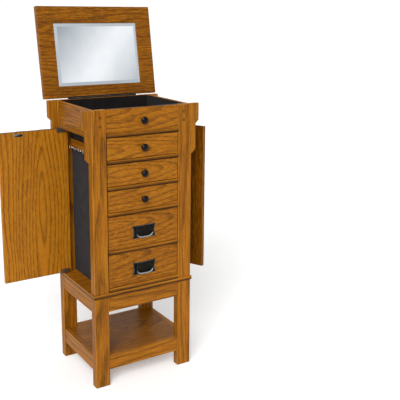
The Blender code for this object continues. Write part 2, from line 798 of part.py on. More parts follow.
def build_hinge():
    """A long narrow leaf let into the back panel's top edge, with its knuckle behind the case."""
    top = LEAF_THICKNESS / 2
    leaf_front = BACK - LEAF_DEPTH - HINGE_Y
    meet = 180 - math.degrees(math.asin(top / KNUCKLE_RADIUS))
    outline = [(leaf_front, top), (leaf_front, -top)]
    outline += arc((0, 0), KNUCKLE_RADIUS, -meet, meet, 18)
    half = POST_INNER - HINGE_END_GAP
    shape = prism(outline, -half, half, "x")
    place("lid_hinge", shape, "dark_metal", (0, HINGE_Y, HINGE_Z), smooth=40)


def build_doors():
    """Each door is drawn shut about its pivot, then swung out."""
    width = CASE_DEPTH - 2 * POST_DEPTH - 2 * DOOR_EDGE_GAP
    for (side, sign_x), angle in zip(SIDES, (LEFT_DOOR_OPEN, RIGHT_DOOR_OPEN)):
        pivot = (sign_x * PIVOT_X, PIVOT_Y, 0)
        turn = (0, 0, sign_x * angle)
        outer = sign_x * PIVOT_FROM_FACE
        inner = outer - sign_x * DOOR_THICKNESS
        rear = PIVOT_FROM_EDGE
        parts = [spans((outer, inner), (rear - width, rear), (DOOR_BOTTOM, DOOR_TOP))]
        for share in (1 / 3, 2 / 3):
            middle = rear - width * share
            deep = (middle - BATTEN_WIDTH / 2, middle + BATTEN_WIDTH / 2)
            proud = outer + sign_x * BATTEN_PROUD
            parts.append(spans((outer, proud), deep, (DOOR_BOTTOM, DOOR_TOP)))
        place("door_" + side, blocks(parts), "oak", pivot, turn)
        for end, level, sign_z in (("top", DOOR_TOP, 1), ("bottom", DOOR_BOTTOM, -1)):
            name = "door_%s_hinge_%s" % (side, end)
            hinge_plate(name, inner, level, sign_x, sign_z, pivot, turn)


def hinge_plate(name, inner, level, sign_x, sign_z, pivot, turn):
    """An angle of metal over the door's end and inner face, at the pivot."""
    deep = (PIVOT_FROM_EDGE - PLATE_INSET - PLATE_LENGTH, PIVOT_FROM_EDGE - PLATE_INSET)
    over = level + sign_z * (GAP + PLATE_THICKNESS * PLATE_FLANGE_SHARE)
    face = (inner - sign_x * GAP, inner - sign_x * (GAP + PLATE_THICKNESS))
    plate = spans(face, deep, (over, level - sign_z * PLATE_HEIGHT))
    reach = sign_x * PIVOT_FROM_FACE * PLATE_FLANGE_REACH
    flange = spans((face[1], reach), deep, (over, level + sign_z * GAP))
    place(name, blocks([plate, flange]), "dark_metal", pivot, turn)


def main():
    clear_scene()
    build_stand()
    build_posts()
    build_corbels()
    build_front()
    build_carcass()
    build_drawers()
    build_lid()
    build_doors()


main()
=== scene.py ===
# Jewelry armoire in honey oak: the looks of the cabinet, lid, side doors and drawers.
# Metres, +Z up, drawers facing -Y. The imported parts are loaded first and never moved.
import json
from math import radians

import bmesh
import bpy
import numpy as np
from mathutils import Matrix, Vector


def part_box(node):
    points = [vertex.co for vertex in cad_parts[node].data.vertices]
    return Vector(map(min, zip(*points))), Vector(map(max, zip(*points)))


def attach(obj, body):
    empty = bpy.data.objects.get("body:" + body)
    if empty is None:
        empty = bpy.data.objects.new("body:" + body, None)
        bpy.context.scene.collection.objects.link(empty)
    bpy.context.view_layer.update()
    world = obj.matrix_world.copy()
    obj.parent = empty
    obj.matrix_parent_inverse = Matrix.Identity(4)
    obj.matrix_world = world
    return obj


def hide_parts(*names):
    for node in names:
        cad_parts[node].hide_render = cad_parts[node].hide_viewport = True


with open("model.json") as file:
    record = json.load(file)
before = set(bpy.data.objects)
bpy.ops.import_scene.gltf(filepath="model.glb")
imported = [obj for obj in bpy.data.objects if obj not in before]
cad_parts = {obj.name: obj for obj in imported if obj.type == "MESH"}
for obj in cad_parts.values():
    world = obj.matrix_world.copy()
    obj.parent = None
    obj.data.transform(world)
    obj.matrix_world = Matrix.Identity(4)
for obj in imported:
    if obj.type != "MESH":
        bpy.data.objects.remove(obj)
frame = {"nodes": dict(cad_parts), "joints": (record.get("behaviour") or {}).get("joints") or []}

nodes = frame["nodes"]
joints = {joint["name"]: joint for joint in frame["joints"]}
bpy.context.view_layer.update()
mm = 0.001
corners = [("front_left", -1, -1), ("front_right", 1, -1), ("rear_left", -1, 1), ("rear_right", 1, 1)]
sides = [("left", -1), ("right", 1)]
print("frame loaded:", len(nodes), "nodes")


# small helpers

def linear(hexColor):
    # sRGB hex to linear RGBA: the low end is a straight line, the rest a 2.4 power
    values = np.array([int(hexColor[i:i + 2], 16) for i in (1, 3, 5)]) / 255
    flat = np.where(values <= 0.04045, values / 12.92, ((values + 0.055) / 1.055) ** 2.4)
    return (*[float(value) for value in flat], 1.0)


def addNode(tree, kind, settings=None, links=None):
    # settings: property or socket to value, or "stops" to a ramp's places and colours
    # links: socket to another node's output
    node = tree.nodes.new("ShaderNode" + kind)
    for name, value in (settings or {}).items():
        if name == "stops":
            elements = node.color_ramp.elements
            while len(elements) < len(value):
                elements.new(0.5)
            for element, (place, color) in zip(elements, value):
                element.position = place
                element.color = linear(color) if isinstance(color, str) else (color, color, color, 1)
        elif isinstance(name, str) and hasattr(node, name):
            setattr(node, name, value)
        else:
            node.inputs[name].default_value = value
    for name, source in (links or {}).items():
        tree.links.new(source, node.inputs[name])
    return node


def newMaterial(name):
    material = bpy.data.materials.new(name)
    material.use_nodes = True
    material.node_tree.nodes.clear()
    return material, material.node_tree


def unit(values):
    return values / np.maximum(np.linalg.norm(values, axis=-1, keepdims=True), 1e-12)


# meshes

def makePiece(name, points, faces, body, material, wearHighlightAndShade=None, standsFor=(), slot=None, smooth=35):
    # one closed mesh from point and face arrays, its doubles merged and its normals outward
    mesh = bpy.data.meshes.new(name)
    mesh.from_pydata(np.asarray(points).reshape(-1, 3).tolist(), [], faces)
    # per-point edge values: wear, and on oak a painted highlight above nothing and painted shade below
    # nothing
    if wearHighlightAndShade is not None:
        layer = mesh.attributes.new("edgeWear", "FLOAT", "POINT")
        layer.data.foreach_set("value", np.asarray(wearHighlightAndShade, np.float32).ravel())
    shape = bmesh.new()
    shape.from_mesh(mesh)
    bmesh.ops.remove_doubles(shape, verts=shape.verts, dist=1e-6)
    bmesh.ops.dissolve_degenerate(shape, edges=shape.edges, dist=1e-7)
    bmesh.ops.recalc_face_normals(shape, faces=shape.faces)
    shape.to_mesh(mesh)
    shape.free()
    mesh.shade_smooth()
    mesh.set_sharp_from_angle(angle=radians(smooth))
    piece = bpy.data.objects.new(name, mesh)
    bpy.context.scene.collection.objects.link(piece)
    mesh.materials.append(material)
    weighted = piece.modifiers.new("flat faces stay flat", "WEIGHTED_NORMAL")
    weighted.keep_sharp = True
    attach(piece, body)
    if standsFor:
        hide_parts(*standsFor)
    return piece


def gridFaces(rows, columns):
    # quads between neighbouring rings of a grid closed across its columns, with an end face each
    i, j = np.meshgrid(np.arange(rows - 1), np.arange(columns), indexing="ij")
    k = (j + 1) % columns
    quads = np.stack([i * columns + j, i * columns + k, (i + 1) * columns + k, (i + 1) * columns + j], -1)
    faces = quads.reshape(-1, 4).tolist()
    faces.append(list(range(columns))[::-1])
    faces.append(list(range((rows - 1) * columns, rows * columns)))
    return faces


def roundedOutline(low, high, radius, steps=4):
    # a rectangle whose corners are quarter circles; returns points, outward normals and corner wear, which
    # on oak is also a painted highlight
    turn = np.concatenate([np.linspace(q, q + 90, steps + 1) for q in (0, 90, 180, 270)])
    normals = np.stack([np.cos(np.radians(turn)), np.sin(np.radians(turn))], -1)
    signs = np.repeat(np.array([[1, 1], [-1, 1], [-1, -1], [1, -1]]), steps + 1, 0)
    middle = (np.asarray(low) + high) / 2
    half = (np.asarray(high) - low) / 2
    points = middle + signs * (half - radius) + normals * radius
    wearHighlightAndShade = np.tile(np.sin(np.pi * np.arange(steps + 1) / steps), 4)
    return points, normals, wearHighlightAndShade


def mitredOutline(corner):
    # normals of a straight-sided outline, drawn so that an inset keeps every side parallel
    corner = np.asarray(corner, float)
    along = unit(np.roll(corner, -1, 0) - corner)
    side = np.stack([along[:, 1], -along[:, 0]], -1)
    before = np.roll(side, 1, 0)
    mitre = (side + before) / (1 + np.sum(side * before, -1, keepdims=True))
    area = np.sum(corner[:, 0] * np.roll(corner[:, 1], -1) - np.roll(corner[:, 0], -1) * corner[:, 1])
    return corner, mitre * np.sign(area), np.zeros(len(corner))


def carried(outline, low, high, axis, radius, steps=3):
    # the outline runs along one axis; towards each end it draws in by r(1-cos t) over r(1-sin t)
    points, normals, wearHighlightAndShade = outline
    turn = np.radians(np.linspace(84, 0, steps + 1))
    inset = radius * (1 - np.cos(turn))
    reach = radius * (1 - np.sin(turn))
    stations = np.concatenate([low + reach, (high - reach)[::-1]])
    insets = np.concatenate([inset, inset[::-1]])
    endWear = np.concatenate([np.sin(2 * turn), np.sin(2 * turn)[::-1]])
    flat = points[None] - normals[None] * insets[:, None, None]
    level = np.broadcast_to(stations[:, None, None], flat.shape[:2] + (1,))
    order = {"x": (2, 0, 1), "y": (1, 2, 0), "z": (0, 1, 2)}[axis]
    solid = np.concatenate([flat, level], -1)[..., order]
    return solid, gridFaces(*solid.shape[:2]), np.maximum(wearHighlightAndShade[None], endWear[:, None])


def boardShape(low, high, grain, radius, endStainAndShade=-0.8):
    # a rounded box: a rounded rectangle carried along the grain; end grain is darkened, partly stain taken
    # darker and partly painted shade at the joints it butts
    a = {"x": (1, 2, 0), "y": (2, 0, 1), "z": (0, 1, 2)}[grain]
    low, high = np.asarray(low, float), np.asarray(high, float)
    outline = roundedOutline(low[[a[0], a[1]]], high[[a[0], a[1]]], radius)
    points, faces, wearHighlightAndShade = carried(outline, low[a[2]], high[a[2]], grain, radius * 0.98)
    wearHighlightAndShade[:3] = wearHighlightAndShade[-3:] = endStainAndShade
    return points, faces, wearHighlightAndShade


def lathe(profile, centre, segments=56):
    # a (radius, height) profile turned about -Y: x = r cos t, z = r sin t, y = -height
    profile = np.asarray(profile, float)
    turn = np.linspace(0, 2 * np.pi, segments, endpoint=False)
    x = profile[:, :1] * np.cos(turn)
    z = profile[:, :1] * np.sin(turn)
    y = np.broadcast_to(-profile[:, 1:], x.shape)
    return np.stack([x, y, z], -1) + np.asarray(centre), gridFaces(len(profile), segments)


def bar(path, radii, side, facets=14):
    # a round section carried along a flat path: centre + r(side cos t + across sin t)
    path = np.asarray(path, float)
    ahead = unit(np.gradient(path, axis=0))
    side = np.broadcast_to(np.asarray(side, float), path.shape)
    across = unit(np.cross(ahead, side))
    turn = np.linspace(0, 2 * np.pi, facets, endpoint=False)[None, :, None]
    ring = side[:, None] * np.cos(turn) + across[:, None] * np.sin(turn)
    return path[:, None] + ring * np.asarray(radii)[:, None, None], gridFaces(len(path), facets)


def turning(axis, degrees):
    # the 3x3 matrix of a turn by the right hand about X or Z
    c, s = np.cos(np.radians(degrees)), np.sin(np.radians(degrees))
    if axis == "x":
        return np.array([[1, 0, 0], [0, c, -s], [0, s, c]])
    return np.array([[c, -s, 0], [s, c, 0], [0, 0, 1]])


# the shut pose of a swinging body, so that its boards can be drawn square and then opened
shutPose = {
    "door_left_body": ("door_left_swing", "z", 1),
    "door_right_body": ("door_right_swing", "z", 0),
    "lid_body": ("lid_hinge_turn", "x", 1),
}


def openedFromShut(body):
    jointName, axis, limit = shutPose[body]
    joint = joints[jointName]
    return turning(axis, joint["range_deg"][limit]), np.array(joint["pos_m"])


def shutBox(node, body):
    # the node's limits after turning it shut about its joint
    turn, pivot = openedFromShut(body)
    points = np.array([v.co for v in nodes[node].data.vertices]) - pivot
    points = points @ turn.T + pivot
    return points.min(0), points.max(0)


def opened(points, body):
    turn, pivot = openedFromShut(body)
    return (np.asarray(points) - pivot) @ turn + pivot


# materials

oak = {
    "light": "#A76A13", "middle": "#885109", "dark": "#5A3205", "line": "#3D2003",
    # the pale edge colour is part wear, part painted highlight; the near-black one is painted shade in gaps
    # and under parts
    "wornHighlight": "#C08430", "paintedShade": "#1E0E02",
    "ringSpacing": 14 * mm,      # growth rings, drawn several times their real spacing so that they show
    "ringUnit": 0.314,           # a wave texture at scale 1 draws a ring about every 0.314 m
    "waver": 75 * mm,            # how often the rings bend
    "streak": 3.2 * mm,          # darker threads along the grain, drawn coarse enough to show
    "fleck": 4 * mm,             # ray fleck
    "broad": 50 * mm,            # slow drift of the stain
    "poreWide": 2.2 * mm,        # open pores, really 0.3 mm, drawn wider so that they show
    "tone": 0.56, "streakShare": 1.4, "fleckShare": 0.5, "broadShare": 0.45,
    "lineShare": 0.70, "wornHighlightShare": 0.45, "paintedShadeShare": 0.9, "relief": 0.35 * mm,
    "roughness": 0.42, "gloss": 0.10, "coat": 0.03, "coatRough": 0.3,
}


def makeOak(name, grain, heart, faceNormal, lean, stainAndPaintedLight):
    # flat-sawn white oak, honey stained and lacquered: arched ring lines, dark pores, a soft gloss
    material, tree = newMaterial(name)
    up = Vector((0, 0, 1))
    turn = Vector([float(grain == axis) for axis in "xyz"]).rotation_difference(up).to_matrix()
    # the grain turns to Z, then the log leans from the face so that its rings cross it in arches
    turn = Matrix.Rotation(radians(lean), 3, up.cross(turn @ Vector(faceNormal))) @ turn
    log = addNode(tree, "Mapping", {"Rotation": turn.to_euler(), "Location": -(turn @ Vector(heart))},
                  {"Vector": addNode(tree, "TexCoord").outputs["Object"]}).outputs[0]

    def stretched(along, size, detail, rough):
        # noise drawn out along the grain
        place = addNode(tree, "Mapping", {"Scale": (1, 1, along)}, {"Vector": log}).outputs[0]
        return addNode(tree, "TexNoise", {"Scale": 1 / size, "Detail": detail, "Roughness": rough},
                       {"Vector": place})

    waver = stretched(0.14, oak["waver"], 1.0, 0.4).outputs["Color"]
    push = addNode(tree, "MixRGB", {"blend_type": "LINEAR_LIGHT", 0: 0.030}, {1: log, 2: waver}).outputs[0]
    rings = addNode(tree, "TexWave", {"wave_type": "RINGS", "rings_direction": "Z", "wave_profile": "SAW",
                                      "Scale": oak["ringUnit"] / oak["ringSpacing"], "Distortion": 0.4,
                                      "Detail": 2.0, "Detail Scale": 1.0}, {"Vector": push}).outputs["Fac"]
    ringLine = addNode(tree, "ValToRGB",
                       {"stops": [(0.0, 0.8), (0.07, 0.0), (0.60, 0.0), (0.88, 0.75), (1.0, 1.0)]},
                       {"Fac": rings}).outputs[0]
    streaks = stretched(0.03, oak["streak"], 4.0, 0.6).outputs["Fac"]
    flecks = stretched(0.35, oak["fleck"], 3.0, 0.65).outputs["Fac"]
    broad = stretched(0.15, oak["broad"], 2.0, 0.5).outputs["Fac"]
    pores = stretched(0.06, oak["poreWide"], 1.0, 0.5).outputs["Fac"]
    poreMask = addNode(tree, "ValToRGB", {"stops": [(0.34, 0.3), (0.55, 1.0)]}, {"Fac": pores}).outputs[0]
    line = addNode(tree, "Math", {"operation": "MULTIPLY"}, {0: ringLine, 1: poreMask}).outputs[0]

    # each pattern adds its share; noise stands about a half, so the first sum starts that much lower
    shares = [(streaks, oak["streakShare"]), (flecks, oak["fleckShare"]), (broad, oak["broadShare"])]
    start = oak["tone"] + stainAndPaintedLight - 0.5 * sum(share for source, share in shares)
    tone = None
    for source, share in shares:
        settings = {"operation": "MULTIPLY_ADD", 1: share, 2: start}
        wires = {0: source} if tone is None else {0: source, 2: tone}
        tone = addNode(tree, "Math", settings, wires).outputs[0]
    stained = [(0.12, oak["dark"]), (0.5, oak["middle"]), (0.88, oak["light"])]
    color = addNode(tree, "ValToRGB",
                    {"stops": stained},
                    {"Fac": tone}).outputs[0]
    lineShare = addNode(tree, "Math", {"operation": "MULTIPLY", 1: oak["lineShare"]}, {0: line}).outputs[0]
    lined = addNode(tree, "MixRGB", {2: linear(oak["line"])}, {0: lineShare, 1: color}).outputs[0]
    # the edge attribute above nothing is rubbed pale, part wear and part painted highlight; below nothing it
    # darkens to painted shade in gaps and under parts
    wearHighlightAndShade = addNode(tree, "Attribute", {"attribute_name": "edgeWear"}).outputs["Fac"]
    wornHighlightMask = addNode(tree, "Math", {"operation": "MULTIPLY", "use_clamp": True, 1: oak["wornHighlightShare"]},
                  {0: wearHighlightAndShade}).outputs[0]
    wornHighlight = addNode(tree, "MixRGB", {2: linear(oak["wornHighlight"])}, {0: wornHighlightMask, 1: lined}).outputs[0]
    paintedShadeMask = addNode(tree, "Math", {"operation": "MULTIPLY", "use_clamp": True, 1: -oak["paintedShadeShare"]},
                       {0: wearHighlightAndShade}).outputs[0]
    wood = addNode(tree, "MixRGB", {2: linear(oak["paintedShade"])}, {0: paintedShadeMask, 1: wornHighlight}).outputs[0]
    height = addNode(tree, "Math", {"operation": "SUBTRACT"}, {0: streaks, 1: line}).outputs[0]
    bump = addNode(tree, "Bump", {"Strength": 0.3, "Distance": oak["relief"]}, {"Height": height}).outputs[0]
    gloss = addNode(tree, "Math", {"operation": "MULTIPLY_ADD", 1: 0.14, 2: oak["roughness"] - 0.05},
                    {0: flecks}).outputs[0]
    shader = addNode(tree, "BsdfPrincipled", {"Coat Weight": oak["coat"], "Coat Roughness": oak["coatRough"],
                                              "Specular IOR Level": oak["gloss"]},
                     {"Base Color": wood, "Roughness": gloss, "Normal": bump})
    addNode(tree, "OutputMaterial", links={"Surface": shader.outputs[0]})
    return material


oakStock = {}


def oakFor(grain, seed):
    # rift-sawn stock shared by the narrow boards: the heart is far off, so the lines run straight
    if (grain, seed) not in oakStock:
        dice = np.random.default_rng(100 * "xyz".index(grain) + seed)
        away = {"x": (0, -1, 0.35), "y": (-1, 0, 0.35), "z": (0.35, -1, 0)}[grain]
        heart = Vector(away) * -dice.uniform(0.25, 0.45)
        normal = {"x": (0, -1, 0), "y": (-1, 0, 0), "z": (0, -1, 0)}[grain]
        oakStock[grain, seed] = makeOak("riftOak_%s_%d" % (grain, seed), grain, heart, normal,
                                        dice.uniform(0.4, 1.0), dice.uniform(-0.06, 0.06))
    return oakStock[grain, seed]


def flatSawn(name, middle, grain, normal, lean, depth, stainAndPaintedLight=0.0):
    # a wide board cut near its own heart, which lies depth behind the face
    heart = Vector(middle) - Vector(normal) * depth
    return makeOak("flatSawnOak_" + name, grain, heart, normal, lean, stainAndPaintedLight)


felt = {"fibre": 1.6 * mm, "roughness": 0.97}


def makeFelt(name, dark, light):
    # pressed wool felt: matte, with faint clumps; the fibres are drawn ten times their real width
    material, tree = newMaterial(name)
    place = addNode(tree, "TexCoord").outputs["Object"]
    fibres = addNode(tree, "TexNoise", {"Scale": 1 / felt["fibre"], "Detail": 5.0, "Roughness": 0.75},
                     {"Vector": place}).outputs["Fac"]
    clumps = addNode(tree, "TexNoise", {"Scale": 26.0, "Detail": 2.0}, {"Vector": place}).outputs["Fac"]
    mixed = addNode(tree, "Math", {"operation": "MULTIPLY"}, {0: fibres, 1: clumps}).outputs[0]
    color = addNode(tree, "ValToRGB", {"stops": [(0.12, dark), (0.42, light)]}, {"Fac": mixed}).outputs[0]
    bump = addNode(tree, "Bump", {"Strength": 0.5, "Distance": 0.5 * mm}, {"Height": fibres}).outputs[0]
    shader = addNode(tree, "BsdfPrincipled", {"Roughness": felt["roughness"], "Sheen Weight": 0.04,
                                              "Sheen Roughness": 0.6, "Specular IOR Level": 0.15},
                     {"Base Color": color, "Normal": bump})
    addNode(tree, "OutputMaterial", links={"Surface": shader.outputs[0]})
    return material


def makeDrawerWood():
    # sanded beech with a thin stain: pale, tight straight grain and almost no gloss
    material, tree = newMaterial("sandedBeech")
    place = addNode(tree, "TexCoord").outputs["Object"]
    along = addNode(tree, "Mapping", {"Scale": (0.08, 1, 1)}, {"Vector": place}).outputs[0]
    grain = addNode(tree, "TexNoise", {"Scale": 1 / (5 * mm), "Detail": 4.0},
                    {"Vector": along}).outputs["Fac"]
    color = addNode(tree, "ValToRGB",
                    {"stops": [(0.3, "#9C6A36"), (0.7, "#C6935A")]},
                    {"Fac": grain}).outputs[0]
    bump = addNode(tree, "Bump", {"Strength": 0.15, "Distance": 0.2 * mm}, {"Height": grain}).outputs[0]
    shader = addNode(tree, "BsdfPrincipled", {"Roughness": 0.6}, {"Base Color": color, "Normal": bump})
    addNode(tree, "OutputMaterial", links={"Surface": shader.outputs[0]})
    return material


def makeMirror():
    # silvered float glass: a clean mirror with the faintest haze, slightly cool all over
    material, tree = newMaterial("silveredGlass")
    place = addNode(tree, "TexCoord").outputs["Object"]
    haze = addNode(tree, "TexNoise", {"Scale": 14.0, "Detail": 2.0}, {"Vector": place}).outputs["Fac"]
    color = addNode(tree, "ValToRGB",
                    {"stops": [(0.3, "#E9EEF3"), (0.7, "#F3F6F9")]},
                    {"Fac": haze}).outputs[0]
    rough = addNode(tree, "Math", {"operation": "MULTIPLY_ADD", 1: 0.03, 2: 0.01}, {0: haze}).outputs[0]
    shader = addNode(tree, "BsdfPrincipled", {"Metallic": 1.0}, {"Base Color": color, "Roughness": rough})
    addNode(tree, "OutputMaterial", links={"Surface": shader.outputs[0]})
    return material


def makeMetal(name, dark, light, worn, rough, grit, dent):
    # cast or rolled steel under a dark patina, rubbed bright where edges are handled
    material, tree = newMaterial(name)
    place = addNode(tree, "TexCoord").outputs["Object"]
    pits = addNode(tree, "TexNoise", {"Scale": 1 / grit, "Detail": 4.0, "Roughness": 0.6},
                   {"Vector": place}).outputs["Fac"]
    color = addNode(tree, "ValToRGB", {"stops": [(0.35, dark), (0.65, light)]}, {"Fac": pits}).outputs[0]
    wearHighlightAndShade = addNode(tree, "Attribute", {"attribute_name": "edgeWear"}).outputs["Fac"]
    broken = addNode(tree, "Math", {"operation": "MULTIPLY"}, {0: wearHighlightAndShade, 1: pits}).outputs[0]
    mask = addNode(tree, "ValToRGB", {"stops": [(0.25, 0.0), (0.55, 1.0)]}, {"Fac": broken}).outputs[0]
    mixed = addNode(tree, "MixRGB", {2: linear(worn)}, {0: mask, 1: color}).outputs[0]
    gloss = addNode(tree, "Math", {"operation": "MULTIPLY_ADD", 1: 0.2, 2: rough - 0.1},
                    {0: pits}).outputs[0]
    bump = addNode(tree, "Bump", {"Strength": 0.5, "Distance": dent}, {"Height": pits}).outputs[0]
    shader = addNode(tree, "BsdfPrincipled", {"Metallic": 1.0},
                     {"Base Color": mixed, "Roughness": gloss, "Normal": bump})
    addNode(tree, "OutputMaterial", links={"Surface": shader.outputs[0]})
    return material


def makeEnamel():
    # black enamel over turned metal: deep gloss with a little orange peel
    material, tree = newMaterial("blackEnamel")
    place = addNode(tree, "TexCoord").outputs["Object"]
    peel = addNode(tree, "TexNoise", {"Scale": 1 / (3 * mm), "Detail": 2.0},
                   {"Vector": place}).outputs["Fac"]
    color = addNode(tree, "ValToRGB",
                    {"stops": [(0.3, "#050506"), (0.7, "#0B0B0D")]},
                    {"Fac": peel}).outputs[0]
    gloss = addNode(tree, "Math", {"operation": "MULTIPLY_ADD", 1: 0.06, 2: 0.06}, {0: peel}).outputs[0]
    bump = addNode(tree, "Bump", {"Strength": 0.06, "Distance": 0.1 * mm}, {"Height": peel}).outputs[0]
    shader = addNode(tree, "BsdfPrincipled", {"Specular IOR Level": 0.16},
                     {"Base Color": color, "Roughness": gloss, "Normal": bump})
    addNode(tree, "OutputMaterial", links={"Surface": shader.outputs[0]})
    return material


trayFelt = makeFelt("blackFelt", "#080504", "#150F0C")
bayFelt = makeFelt("charcoalFelt", "#171417", "#272327")
beech = makeDrawerWood()
silvered = makeMirror()
gunmetal = makeMetal("darkPatinaSteel", "#161C1D", "#2A3335", "#A9B0B2", 0.42, 2.2 * mm, 0.25 * mm)
hammered = makeMetal("hammeredSteel", "#171512", "#2B2822", "#5F6E76", 0.5, 3.0 * mm, 0.6 * mm)
zinc = makeMetal("zincPlatedSteel", "#6F6A5F", "#8E897C", "#C9C6BD", 0.4, 2.4 * mm, 0.15 * mm)
nickel = makeMetal("brightNickel", "#AEB1B4", "#D3D5D7", "#E6E8EA", 0.25, 2.0 * mm, 0.05 * mm)
enamel = makeEnamel()
print("materials ready")


# boards

# the end value darkens end grain, partly stain and partly painted shade at the joints; the tall value is a
# band of painted shade along an apron's top
boards = {"round": 1.9 * mm, "narrowRound": 1.5 * mm, "paintedShadeTall": 1 * mm, "frontEdge": 0.15 * mm,
          "endStainAndShade": -0.8, "mouldingEnds": 0.3}
boardPlan = {
    # node: (grain, stain batch)
    "leg_front_left": ("z", 1), "leg_front_right": ("z", 2),
    "leg_rear_left": ("z", 3), "leg_rear_right": ("z", 1),
    "apron_front": ("x", 1), "apron_rear": ("x", 2), "apron_left": ("y", 1), "apron_right": ("y", 2),
    "base_moulding": ("x", 3),
    "case_rail_1": ("x", 4), "case_rail_2": ("x", 1), "case_rail_3": ("x", 2),
    "case_rail_4": ("x", 3), "case_rail_5": ("x", 4), "case_rail_6": ("x", 1),
}
# front board: (sideways and upward shift of its heart, lean, heart's depth, tone offset, darker towards the
# bottom)
frontPlan = {
    "false_front": (40 * mm, 26 * mm, 5.0, 38 * mm, 0.03),
    "drawer_1_front": (-60 * mm, -20 * mm, 6.0, 30 * mm, 0.06),
    "drawer_2_front": (5 * mm, 0.0, 9.0, 14 * mm, 0.04),
    "drawer_3_front": (80 * mm, 24 * mm, 6.0, 26 * mm, 0.0),
    "drawer_4_front": (20 * mm, 20 * mm, 8.0, 24 * mm, -0.04),
    "drawer_5_front": (-50 * mm, 36 * mm, 7.0, 30 * mm, -0.08),
}


def boardFor(node, body, grain, material, radius, paintedShade=None):
    # the last argument picks the points that take painted shade
    endStainAndShade = boards["mouldingEnds" if "moulding" in node else "endStainAndShade"]
    points, faces, wearHighlightAndShade = boardShape(*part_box(node), grain, radius, endStainAndShade)
    if paintedShade:
        wearHighlightAndShade[paintedShade(points)] = -1
    return makePiece(node + "_board", points, faces, body, material, wearHighlightAndShade, [node], "oak")


for node, (grain, seed) in boardPlan.items():
    low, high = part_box(node)
    middle = (low[2] + high[2]) / 2
    rail = "rail" in node

    def paintedShade(points):
        # painted shade under a rail and the moulding, and along an apron's top
        if rail or "moulding" in node:
            return points[..., 2] < middle
        return points[..., 2] > high[2] - boards["paintedShadeTall"]

    boardFor(node, "cabinet", grain, oakFor(grain, seed), boards["narrowRound" if rail else "round"],
             None if "leg" in node else paintedShade)
for node, (aside, above, lean, depth, stainAndPaintedLight) in frontPlan.items():
    low, high = (np.array(v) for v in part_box(node))
    middle = (low + high) / 2 + (aside, 0, above)
    front = low[1] + boards["frontEdge"]
    body = "cabinet" if node == "false_front" else node[:9] + "body"
    wood = flatSawn(node, (middle[0], low[1], middle[2]), "x", (0, -1, 0), lean, depth, stainAndPaintedLight)
    # a drawer front's rounded edges behind its face take painted shade, for the gap round the drawer
    boardFor(node, body, "x", wood, boards["narrowRound"], lambda points: points[..., 1] > front)
print("boards of the case and drawers")


# posts, pegs and corbels

post = {"round": 2.4 * mm, "stepIn": 14 * mm, "stepFront": 18 * mm, "stepRear": 12 * mm,
        "pegInset": 33.5 * mm, "pegDrops": (27 * mm, 58 * mm), "pegHalf": 4.5 * mm, "pegProud": 1.5 * mm}
# a rear post has no pegs, so its box gives the faces that all four posts share
postInner, caseCorner = (np.array(v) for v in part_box("post_rear_right"))
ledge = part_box("partition_right")[1][2]


def postShape(node, signX, signY):
    # a rounded rectangle rises to the tray's ledge, where its inner corner steps back to an L
    low, high = (np.array(v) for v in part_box(node))
    # u runs in from the side face and v in from the front or back face
    width, depth = (caseCorner - postInner)[:2]
    outline, normals, wearHighlightAndShade = roundedOutline((0, 0), (width, depth), post["round"])
    innerU, innerV = post["stepIn"], post["stepFront" if signY < 0 else "stepRear"]
    keep = ~((outline[:, 0] > width - post["round"] - 1e-6) & (outline[:, 1] > depth - post["round"] - 1e-6))
    base, baseNormals, baseWear = outline[keep], normals[keep], wearHighlightAndShade[keep]
    below = np.array([[width, innerV], [width, depth], [innerU, depth]])
    above = np.array([[width, innerV], [innerU, innerV], [innerU, depth]])
    # the dropped corner sits at the start of the outline, so the three step points close it there
    ringLow = np.concatenate([below, base])
    ringHigh = np.concatenate([above, base])
    ringNormals = np.concatenate([np.zeros((3, 2)), baseNormals])
    ringWear = np.concatenate([np.zeros(3), baseWear])
    # the top edge is eased in two short steps
    top, reach = high[2], post["round"]
    stations = [low[2], ledge, ledge, top - reach, top - reach * 0.35, top]
    rings = [ringLow, ringLow, ringHigh, ringHigh, ringHigh, ringHigh]
    insets = [0, 0, 0, 0, reach * 0.25, reach * 0.9]
    wears = [0, 0, 0, 0, 1, 0.3]
    flat = np.stack([ring - ringNormals * inset for ring, inset in zip(rings, insets)])
    x = signX * (caseCorner[0] - flat[..., 0])
    y = signY * (caseCorner[1] - flat[..., 1])
    z = np.broadcast_to(np.array(stations)[:, None], x.shape)
    points = np.stack([x, y, z], -1)
    return points, gridFaces(*x.shape), np.maximum(ringWear[None], np.array(wears)[:, None])


def pegShape(middleX, front, height):
    # a blunt pyramid: a square that draws in as it stands out
    square = np.array([[-1, -1], [1, -1], [1, 1], [-1, 1]], float)
    sizes = np.array([1.0, 1.0, 0.72, 0.34]) * post["pegHalf"]
    out = np.array([-1.0 * mm, 0.1 * mm, 0.9 * mm, post["pegProud"]])
    flat = square[None] * sizes[:, None, None]
    y = np.broadcast_to(front - out[:, None], flat.shape[:2])
    return np.stack([middleX + flat[..., 0], y, height + flat[..., 1]], -1), gridFaces(4, 4)


